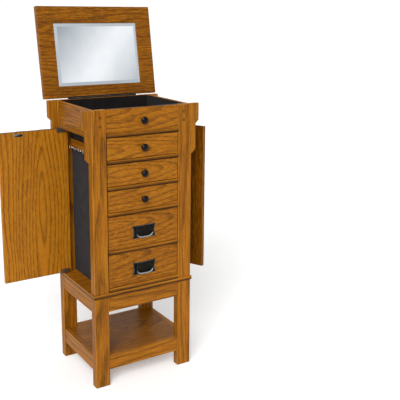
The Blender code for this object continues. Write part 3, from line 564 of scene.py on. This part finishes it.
corbel = {"reach": 32.5 * mm, "waist": 19.5 * mm, "toe": 4.5 * mm, "topRun": 63 * mm, "height": 186 * mm,
          "round": 1.3 * mm, "gap": 0.3 * mm}
for index, (corner, signX, signY) in enumerate(corners):
    node = "post_" + corner
    points, faces, wearHighlightAndShade = postShape(node, signX, signY)
    makePiece(node + "_timber", points, faces, "cabinet", oakFor("z", (2, 4, 1, 3)[index]), wearHighlightAndShade, [node],
              "oak")
    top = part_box(node)[1][2]
    if signY < 0:
        for place, drop in zip(("upper", "lower"), post["pegDrops"]):
            points, faces = pegShape(signX * (caseCorner[0] - post["pegInset"]), -caseCorner[1], top - drop)
            # a peg is darkened all over and darkest at its base: painted shade for the gap round it
            makePiece("peg_%s_%s" % (corner, place), points, faces, "cabinet", oakFor("x", 6),
                      np.repeat([-1.0, -1.0, -0.7, -0.3], 4), smooth=20)
    # broad head, chamfer, narrow waist, chamfer, toe
    c = corbel
    edge = top - c["topRun"] - (c["reach"] - c["waist"])
    foot = top - c["height"]
    side = [(c["gap"], top), (c["reach"], top), (c["reach"], top - c["topRun"]), (c["waist"], edge),
            (c["waist"], foot + c["waist"] - c["toe"]), (c["toe"], foot), (c["gap"], foot)]
    outline = mitredOutline([(z, signX * (caseCorner[0] + u)) for u, z in side])
    low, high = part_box("corbel_" + corner)
    points, faces, wearHighlightAndShade = carried(outline, low[1], high[1], "y", c["round"])
    makePiece("corbel_%s_bracket" % corner, points, faces, "cabinet", oakFor("z", (3, 1, 4, 2)[index]),
              wearHighlightAndShade, ["corbel_" + corner], "oak")
print("posts, pegs and corbels")


# top sides, lower shelf, hook rails

topSide = {"setback": 4 * mm, "stripTall": 12 * mm, "lap": 1 * mm}
for side, sign in sides:
    low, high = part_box("side_panel_" + side)
    inner, proud = sorted((low[0], high[0]), key=abs)
    stripTop = low[2] + topSide["stripTall"]
    # part: (outer face, bottom, top, stain batch); the panel laps down behind the strip
    parts = {"panel": (sign * (caseCorner[0] - topSide["setback"]), stripTop - topSide["lap"], high[2], 3),
             "strip": (proud, low[2], stripTop, 4)}
    for part, (outer, bottom, top, seed) in parts.items():
        xs = sorted((inner, outer))
        points, faces, wearHighlightAndShade = boardShape((xs[0], low[1], bottom), (xs[1], high[1], top), "y",
                                         boards["narrowRound"])
        made = makePiece("side_%s_%s" % (part, side), points, faces, "cabinet", oakFor("y", seed), wearHighlightAndShade,
                         slot="oak")
        if part == "panel":
            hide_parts("side_panel_" + side)

shelf = {"railThick": 20 * mm, "round": 1.1 * mm, "boardThick": 14 * mm, "boardDrop": 0.6 * mm,
         "boardRound": 0.7 * mm, "crack": 0.35 * mm, "legGap": 0.3 * mm,
         "heart": (0.03, 0.02), "heartDepth": 30 * mm, "lean": 6.0, "stainAndPaintedLight": 0.06}
low, high = (np.array(v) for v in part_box("lower_shelf"))
inX, inY = high[0] - shelf["railThick"], high[1] - shelf["railThick"]
legX, legY = np.array(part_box("leg_rear_right")[0])[:2] - shelf["legGap"]
shelfRails = {
    "front": ((-legX, low[1], low[2]), (legX, -inY, high[2]), "x"),
    "rear": ((-legX, inY, low[2]), (legX, high[1], high[2]), "x"),
    "left": ((low[0], -legY, low[2]), (-inX, legY, high[2]), "y"),
    "right": ((inX, -legY, low[2]), (high[0], legY, high[2]), "y"),
}
for name, (a, b, grain) in shelfRails.items():
    points, faces, wearHighlightAndShade = boardShape(a, b, grain, shelf["round"])
    made = makePiece("shelf_rail_" + name, points, faces, "cabinet", oakFor(grain, 2), wearHighlightAndShade, slot="oak")
    if name == "front":
        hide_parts("lower_shelf")
# the shelf board is a cross-shaped outline, cut back at each leg
cx, cy = inX - shelf["crack"], inY - shelf["crack"]
cross = [(cx, -legY), (cx, legY), (legX, legY), (legX, cy), (-legX, cy), (-legX, legY), (-cx, legY),
         (-cx, -legY), (-legX, -legY), (-legX, -cy), (legX, -cy), (legX, -legY)]
points, faces, wearHighlightAndShade = carried(mitredOutline(cross), high[2] - shelf["boardThick"],
                              high[2] - shelf["boardDrop"], "z", shelf["boardRound"])
wood = flatSawn("shelf", (*shelf["heart"], high[2]), "x", (0, 0, 1), shelf["lean"], shelf["heartDepth"],
                shelf["stainAndPaintedLight"])
# its edges are turned from rubbed to dark: painted shade in the crack along the rails
makePiece("shelf_board", points, faces, "cabinet", wood, -wearHighlightAndShade, slot="oak")

hooks = {"count": 6, "radius": 1.3 * mm, "reach": 13 * mm, "rise": 6 * mm, "rooted": 3 * mm,
         "tip": 0.3 * mm, "level": 0.8, "railThick": 9 * mm}
for side, sign in sides:
    low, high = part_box("hook_rail_" + side)
    railLow, railHigh, limit = low[2], high[2], high[1]
    back = min(abs(low[0]), abs(high[0]))
    face = back + hooks["railThick"]
    xs = sorted((sign * back, sign * face))
    points, faces, wearHighlightAndShade = boardShape((xs[0], -limit, railLow), (xs[1], limit, railHigh), "y",
                                     boards["narrowRound"])
    made = makePiece("hook_strip_" + side, points, faces, "cabinet", oakFor("y", 5), wearHighlightAndShade,
                     ["hook_rail_" + side], "oak")
    pitch = 2 * limit / hooks["count"]
    bend = hooks["reach"] / 3
    for i in range(hooks["count"]):
        # straight out, a half round down, then up to a small round tip
        turn = np.linspace(0, np.pi, 15)
        out = np.concatenate([[-hooks["rooted"]], hooks["reach"] - bend - bend * np.cos(turn),
                              [hooks["reach"]]])
        up = np.concatenate([[0], -bend * np.sin(turn), [hooks["rise"] - hooks["tip"]]])
        height = railHigh - (railHigh - railLow) * hooks["level"]
        y = -limit + pitch * (i + 0.5)
        path = np.stack([sign * (face + out), np.full_like(out, y), height + up], -1)
        radii = np.full(len(path), hooks["radius"])
        points, faces = bar(path, radii, (0, 1, 0))
        makePiece("hook_%s_%d" % (side, i + 1), points, faces, "cabinet", nickel,
                  np.full(points.shape[:2], 0.5), smooth=60)
print("shelf, sides and hooks")


# side doors

door = {"round": 1.6 * mm, "heartAside": 30 * mm, "heartDown": 190 * mm, "heartDepth": 12 * mm, "lean": 6.0,
        # these offsets make the left door lighter and the right darker: painted light and painted shade on
        # the same oak
        "stainAndPaintedLight": {"left": 0.22, "right": -0.30},
        "battenShare": (1 / 3, 2 / 3), "battenWide": 34 * mm, "battenProud": 3.5 * mm,
        "battenRound": 1.2 * mm, "battenSunk": 1 * mm,
        "catchLong": 34 * mm, "catchTall": 11 * mm, "catchThick": 1.1 * mm, "catchSunk": 0.3 * mm,
        "catchRound": 0.45, "catchEdge": 0.4 * mm, "catchFromEdge": 72 * mm, "catchFromTop": 12 * mm}


def openedPiece(name, made, body, material, **more):
    points, faces, wearHighlightAndShade = made
    return makePiece(name, opened(points, body), faces, body, material, wearHighlightAndShade, **more)


for side, sign in sides:
    body = "door_%s_body" % side
    low, high = shutBox("door_" + side, body)
    inner = low[0] if sign > 0 else high[0]
    outer = high[0] if sign > 0 else low[0]
    face = outer - sign * door["battenProud"]
    xs = sorted((inner, face))
    panel = boardShape((xs[0], low[1], low[2]), (xs[1], high[1], high[2]), "z", door["round"])
    # the heart runs up beside the panel's middle, just behind its inner face
    turn, pivot = openedFromShut(body)
    centre = opened([inner, (low[1] + high[1]) / 2 + door["heartAside"], high[2] - door["heartDown"]], body)
    wood = flatSawn("door_" + side, centre, "z", np.array([-sign, 0, 0]) @ turn, door["lean"],
                    door["heartDepth"], door["stainAndPaintedLight"][side])
    openedPiece("door_panel_" + side, panel, body, wood, standsFor=["door_" + side], slot="oak")
    wide = high[1] - low[1]
    for number, share in enumerate(door["battenShare"], 1):
        middle = high[1] - wide * share
        xs = sorted((face - sign * door["battenSunk"], outer))
        batten = boardShape((xs[0], middle - door["battenWide"] / 2, low[2]),
                            (xs[1], middle + door["battenWide"] / 2, high[2]), "z", door["battenRound"])
        name = "door_batten_%s_%d" % (side, number)
        openedPiece(name, batten, body, oakFor("z", number), slot="oak")
    # oblong catch plate on the inner face near the free top corner
    xs = sorted((inner - sign * door["catchThick"], inner + sign * door["catchSunk"]))
    y = low[1] + door["catchFromEdge"]
    z = high[2] - door["catchFromTop"]
    outline = roundedOutline((y - door["catchLong"] / 2, z - door["catchTall"] / 2),
                             (y + door["catchLong"] / 2, z + door["catchTall"] / 2),
                             door["catchTall"] * door["catchRound"])
    plate = carried(outline, xs[0], xs[1], "x", door["catchEdge"])
    openedPiece("catch_plate_" + side, plate, body, gunmetal, slot="gunmetal")
print("side doors")


# lid trim

lidTrim = {"leafDeep": 4.5 * mm, "leafHalf": 144.5 * mm, "leafProud": 0.2 * mm, "leafSunk": 1 * mm,
           "leafRound": 0.15 * mm}
low, high = shutBox("lid", "lid_body")
leaf = boardShape((-lidTrim["leafHalf"], high[1] - lidTrim["leafDeep"], low[2] - lidTrim["leafProud"]),
                  (lidTrim["leafHalf"], high[1], low[2] + lidTrim["leafSunk"]), "x", lidTrim["leafRound"])
openedPiece("lid_hinge_leaf", leaf, "lid_body", gunmetal, slot="gunmetal")
print("lid trim")


# knobs and bail pulls

# neckEnd, headWidest and headBelow are shares of the length
knob = {"radius": 13.2 * mm, "length": 21 * mm, "neck": 5.5 * mm, "foot": 8.2 * mm, "footThick": 1.2 * mm,
        "tip": 0.05 * mm, "neckEnd": 0.40, "headWidest": 0.62, "headBelow": 0.26}


def knobProfile():
    # flared foot, waisted neck, and a head whose side is a half ellipse
    r, h = knob["radius"], knob["length"]
    neckHeights = np.linspace(knob["footThick"], h * knob["neckEnd"], 9)
    share = (neckHeights - neckHeights[0]) / np.ptp(neckHeights)
    neck = knob["neck"] + (knob["foot"] - knob["neck"]) * (1 - share) ** 3
    turn = np.radians(np.linspace(-40, 90, 20))
    headMiddle = h * knob["headWidest"]
    fall = np.where(turn < 0, h * knob["headBelow"], h - headMiddle)
    head = np.stack([r * np.cos(turn), headMiddle + fall * np.sin(turn)], -1)
    head[-1, 0] = knob["tip"]
    return np.concatenate([[[knob["foot"] * 0.98, 0]], np.stack([neck, neckHeights], -1), head])


def knobOn(node, name, body):
    low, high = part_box(node)
    centre = ((low[0] + high[0]) / 2, high[1], (low[2] + high[2]) / 2)
    points, faces = lathe(knobProfile(), centre)
    makePiece(name, points, faces, body, enamel, standsFor=[node], slot="black_enamel", smooth=60)


knobOn("false_front_knob", "knob_top", "cabinet")
for number in (1, 2, 3):
    knobOn("drawer_%d_knob" % number, "knob_%d" % number, "drawer_%d_body" % number)

pull = {"wide": 96 * mm, "tall": 50 * mm, "flareX": 5.5 * mm, "flareZ": 2.2 * mm, "thick": 2.2 * mm,
        "postX": 25 * mm, "postRise": 7 * mm, "postRadius": 4.1 * mm, "postLong": 11.5 * mm,
        "postSides": 32, "shoulder": 4.2 * mm, "gap": 0.3 * mm,
        "barRadius": 2.1 * mm, "barDrop": 26 * mm, "bulge": 5.5 * mm, "barSides": 18,
        "barSquare": 0.55, "barFall": 0.8, "thinEnd": 0.8, "thicker": 0.45}


def plateOutline(steps=18):
    # four sides that bow inwards by a sine between flared corners
    share = np.arange(steps) / steps
    bow = np.sin(np.pi * share)
    w, h = pull["wide"] / 2, pull["tall"] / 2
    bottom = np.stack([-w + 2 * w * share, -h + pull["flareZ"] * bow], -1)
    right = np.stack([w - pull["flareX"] * bow, -h + 2 * h * share], -1)
    return np.concatenate([bottom, right, -bottom, -right])


def plateShape(centre, back):
    # the outline shrinks towards the middle while a rim rises, falls and leaves a sunk field
    outline = plateOutline()
    inset = np.array([0, 0, 0.5, 1.5, 2.6, 3.6, 4.4, 14, 22]) * mm
    out = np.array([0, 1.3, 1.9, 2.15, 2.1, 1.4, 1.1, 1.1, 1.1]) * mm
    wearHighlightAndShade = np.array([0, 0.4, 1.0, 0.8, 0.5, 0.1, 0, 0, 0])
    half = np.array([pull["wide"], pull["tall"]]) / 2
    scale = 1 - inset[:, None] / half[None]
    flat = outline[None] * scale[:, None]
    y = np.broadcast_to(back - out[:, None], flat.shape[:2])
    points = np.stack([centre[0] + flat[..., 0], y, centre[1] + flat[..., 1]], -1)
    return points, gridFaces(*points.shape[:2]), np.broadcast_to(wearHighlightAndShade[:, None], points.shape[:2])


for number in (4, 5):
    body = "drawer_%d_body" % number
    low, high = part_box("drawer_%d_pull_plate" % number)
    back = high[1]
    centre = ((low[0] + high[0]) / 2, (low[2] + high[2]) / 2)
    points, faces, wearHighlightAndShade = plateShape(centre, back)
    made = makePiece("pull_plate_%d" % number, points, faces, body, hammered, wearHighlightAndShade,
                     ["drawer_%d_pull_plate" % number], "gunmetal", smooth=50)
    height = centre[1] + pull["postRise"]
    for name, sign in sides:
        # a washer that slopes to the shank, then a blunt end; each ring's wear stands in the same order
        r, long = pull["postRadius"], pull["postLong"]
        profile = [(r * 1.5, 0.8 * mm), (r * 1.5, 1.8 * mm), (r * 1.25, 2.8 * mm), (r, 3.6 * mm),
                   (r, long - r * 0.4), (r * 0.9, long), (r * 0.6, long + 0.5 * mm),
                   (0.05 * mm, long + 0.7 * mm)]
        wearHighlightAndShade = np.repeat([[0.0], [0.2], [0.1], [0.0], [0.2], [0.6], [0.3], [0.1]], pull["postSides"], 1)
        place = (centre[0] + sign * pull["postX"], back, height)
        points, faces = lathe(profile, place, pull["postSides"])
        makePiece("pull_post_%d_%s" % (number, name), points, faces, body, gunmetal, wearHighlightAndShade, slot="gunmetal",
                  smooth=50)
    # the bar leaves each post sideways, falls and sweeps across: cosine and sine drawn square
    axisY = back - pull["thick"] * 0.4 - pull["postLong"] + pull["postRadius"] * 0.9
    postEdge = pull["postX"] + pull["shoulder"] + pull["gap"]
    turn = np.linspace(0, np.pi, 61)
    across = np.sign(np.cos(turn)) * np.abs(np.cos(turn)) ** pull["barSquare"]
    fall = np.abs(np.sin(turn)) ** pull["barFall"]
    x = np.concatenate([[postEdge], (postEdge + pull["bulge"]) * across, [-postEdge]])
    drop = np.concatenate([[0], -pull["barDrop"] * fall, [0]])
    swell = np.concatenate([[0], fall, [0]])
    path = np.stack([x, np.full_like(x, axisY), height + drop], -1)
    radii = pull["barRadius"] * (pull["thinEnd"] + pull["thicker"] * swell)
    points, faces = bar(path, radii, (0, 1, 0), pull["barSides"])
    wearHighlightAndShade = np.repeat(np.clip(swell * 1.1, 0, 1)[:, None], pull["barSides"], 1)
    makePiece("bail_%d" % number, points, faces, "drawer_%d_bail_body" % number, gunmetal, wearHighlightAndShade,
              ["drawer_%d_bail" % number], "gunmetal", smooth=60)
print("knobs and pulls")


# finishes for the parts shown as packed

lidOak = {"heart": (0.12, 0.16, 1.30), "face": (0, -1, 0.17), "lean": 5.0, "heartDepth": 30 * mm,
          "stainAndPaintedLight": -0.16}
lidWood = flatSawn("lid", lidOak["heart"], "x", lidOak["face"], lidOak["lean"], lidOak["heartDepth"],
                   lidOak["stainAndPaintedLight"])
packedFinish = {"tray_liner": trayFelt, "partition_left": bayFelt, "partition_right": bayFelt,
                "back_panel": oakFor("z", 4), "lid_mirror": silvered,
                "lid": lidWood, "lid_hinge": gunmetal}
for side, sign in sides:
    for end in ("top", "bottom"):
        packedFinish["door_%s_hinge_%s" % (side, end)] = zinc
for number in range(1, 6):
    packedFinish["drawer_%d_box" % number] = beech
for node, material in packedFinish.items():
    nodes[node].data.materials.clear()
    nodes[node].data.materials.append(material)
print("finishes on", len(packedFinish), "packed nodes")


# floor, light and camera

studio = {"floorHalf": 12.0, "floorGlow": 0.22, "sky": "#FFFFFF", "skySeen": 1.02, "skyLight": 0.50,
          "sun": 2.9, "sunSoftness": 36, "sunFrom": (-0.62, -0.74, 0.64),
          "glintWatts": 150, "glintPlace": (-2.2, -2.0, 2.6), "glintAim": (0, 0, 0.7), "glintSize": 1.0,
          "glowTowards": (0.42, -0.879, 0.232), "glowAcross": (-0.8, 0.0, 0.6), "glowDim": "#8B949B"}


def makeFloor():
    # a broad painted floor, matte and almost white; it also glows faintly, a painted light that lifts the
    # shadows cast on it
    edge = studio["floorHalf"]
    corner = [(-edge, -edge, 0), (edge, -edge, 0), (edge, edge, 0), (-edge, edge, 0)]
    mesh = bpy.data.meshes.new("studioFloor")
    mesh.from_pydata(corner, [], [(0, 1, 2, 3)])
    material, tree = newMaterial("mattePaintedFloor")
    place = addNode(tree, "TexCoord").outputs["Object"]
    mottle = addNode(tree, "TexNoise", {"Scale": 3.0}, {"Vector": place}).outputs["Fac"]
    color = addNode(tree, "ValToRGB",
                    {"stops": [(0.0, "#F2F2F1"), (1.0, "#F8F8F8")]},
                    {"Fac": mottle}).outputs[0]
    shader = addNode(tree, "BsdfPrincipled", {"Roughness": 0.9, "Specular IOR Level": 0.1,
                                              "Emission Color": linear("#FFFFFF"),
                                              "Emission Strength": studio["floorGlow"]},
                     {"Base Color": color})
    addNode(tree, "OutputMaterial", links={"Surface": shader.outputs[0]})
    mesh.materials.append(material)
    floor = bpy.data.objects.new("studioFloor", mesh)
    bpy.context.scene.collection.objects.link(floor)


def makeSky():
    # white all round; what the mirror sees in front dims away from a diagonal band
    world = bpy.data.worlds.new("studioSky")
    bpy.context.scene.world = world
    world.use_nodes = True
    tree = world.node_tree
    tree.nodes.clear()
    way = addNode(tree, "TexCoord").outputs["Generated"]
    middle = unit(np.array(studio["glowTowards"]))
    across = np.array(studio["glowAcross"])
    across = unit(across - middle * (across @ middle))
    near = addNode(tree, "VectorMath", {"operation": "DOT_PRODUCT", 1: tuple(middle)},
                   {0: way}).outputs["Value"]
    patch = addNode(tree, "ValToRGB",
                    {"stops": [(0.80, 0.0), (0.95, 0.6), (0.985, 1.0)]},
                    {"Fac": near}).outputs[0]
    side = addNode(tree, "VectorMath", {"operation": "DOT_PRODUCT", 1: tuple(across)},
                   {0: way}).outputs["Value"]
    off = addNode(tree, "Math", {"operation": "ABSOLUTE"}, {0: side}).outputs[0]
    fall = addNode(tree, "ValToRGB", {"stops": [(0.008, 0.0), (0.085, 1.0)]}, {"Fac": off}).outputs[0]
    ray = addNode(tree, "LightPath")
    dimmed = addNode(tree, "Math", {"operation": "MULTIPLY"}, {0: patch, 1: fall}).outputs[0]
    dim = addNode(tree, "Math", {"operation": "MULTIPLY"},
                  {0: dimmed, 1: ray.outputs["Is Glossy Ray"]}).outputs[0]
    color = addNode(tree, "MixRGB", {1: linear(studio["sky"]), 2: linear(studio["glowDim"])},
                    {0: dim}).outputs[0]
    # white walls to look at, but only half their light on the wood, so that the sun models it
    strength = addNode(tree, "Math", {"operation": "MULTIPLY_ADD", 1: studio["skyLight"] - studio["skySeen"],
                                      2: studio["skySeen"]}, {0: ray.outputs["Is Diffuse Ray"]}).outputs[0]
    light = addNode(tree, "Background", links={"Color": color, "Strength": strength}).outputs[0]
    addNode(tree, "OutputWorld", links={"Surface": light})


def sunLight(name, towards, strength, softness):
    # a wide soft sun that models the wood and leaves no glint
    light = bpy.data.lights.new(name, "SUN")
    light.energy = strength
    light.angle = radians(softness)
    lamp = bpy.data.objects.new(name, light)
    bpy.context.scene.collection.objects.link(lamp)
    lamp.rotation_euler = Vector(towards).to_track_quat("Z", "Y").to_euler()
    lamp.visible_glossy = False


def glintLight(name, place, aim, size, watts):
    # a glint for the knobs and lacquer only: it adds nothing to the wood's colour
    light = bpy.data.lights.new(name, "AREA")
    light.size = size
    light.energy = watts
    lamp = bpy.data.objects.new(name, light)
    bpy.context.scene.collection.objects.link(lamp)
    lamp.location = place
    lamp.rotation_euler = (Vector(aim) - Vector(place)).to_track_quat("-Z", "Y").to_euler()
    lamp.visible_diffuse = False


makeFloor()
makeSky()
sunLight("softSun", studio["sunFrom"], studio["sun"], studio["sunSoftness"])
glintLight("glintLight", studio["glintPlace"], studio["glintAim"], studio["glintSize"], studio["glintWatts"])

view = {"place": (-1.2024, -2.3893, 1.3863), "turn": (77.242, -0.673, -32.805), "lens": 64.898,
        "sensor": 36, "shift": (0.0, -0.08), "far": 60}
lens = bpy.data.cameras.new("camera")
lens.lens = view["lens"]
lens.sensor_width = view["sensor"]
lens.shift_x, lens.shift_y = view["shift"]
lens.clip_end = view["far"]
camera = bpy.data.objects.new("camera", lens)
bpy.context.scene.collection.objects.link(camera)
camera.location = view["place"]
camera.rotation_euler = [radians(angle) for angle in view["turn"]]
bpy.context.scene.camera = camera
bpy.context.scene.view_settings.view_transform = "Standard"
print("studio ready")
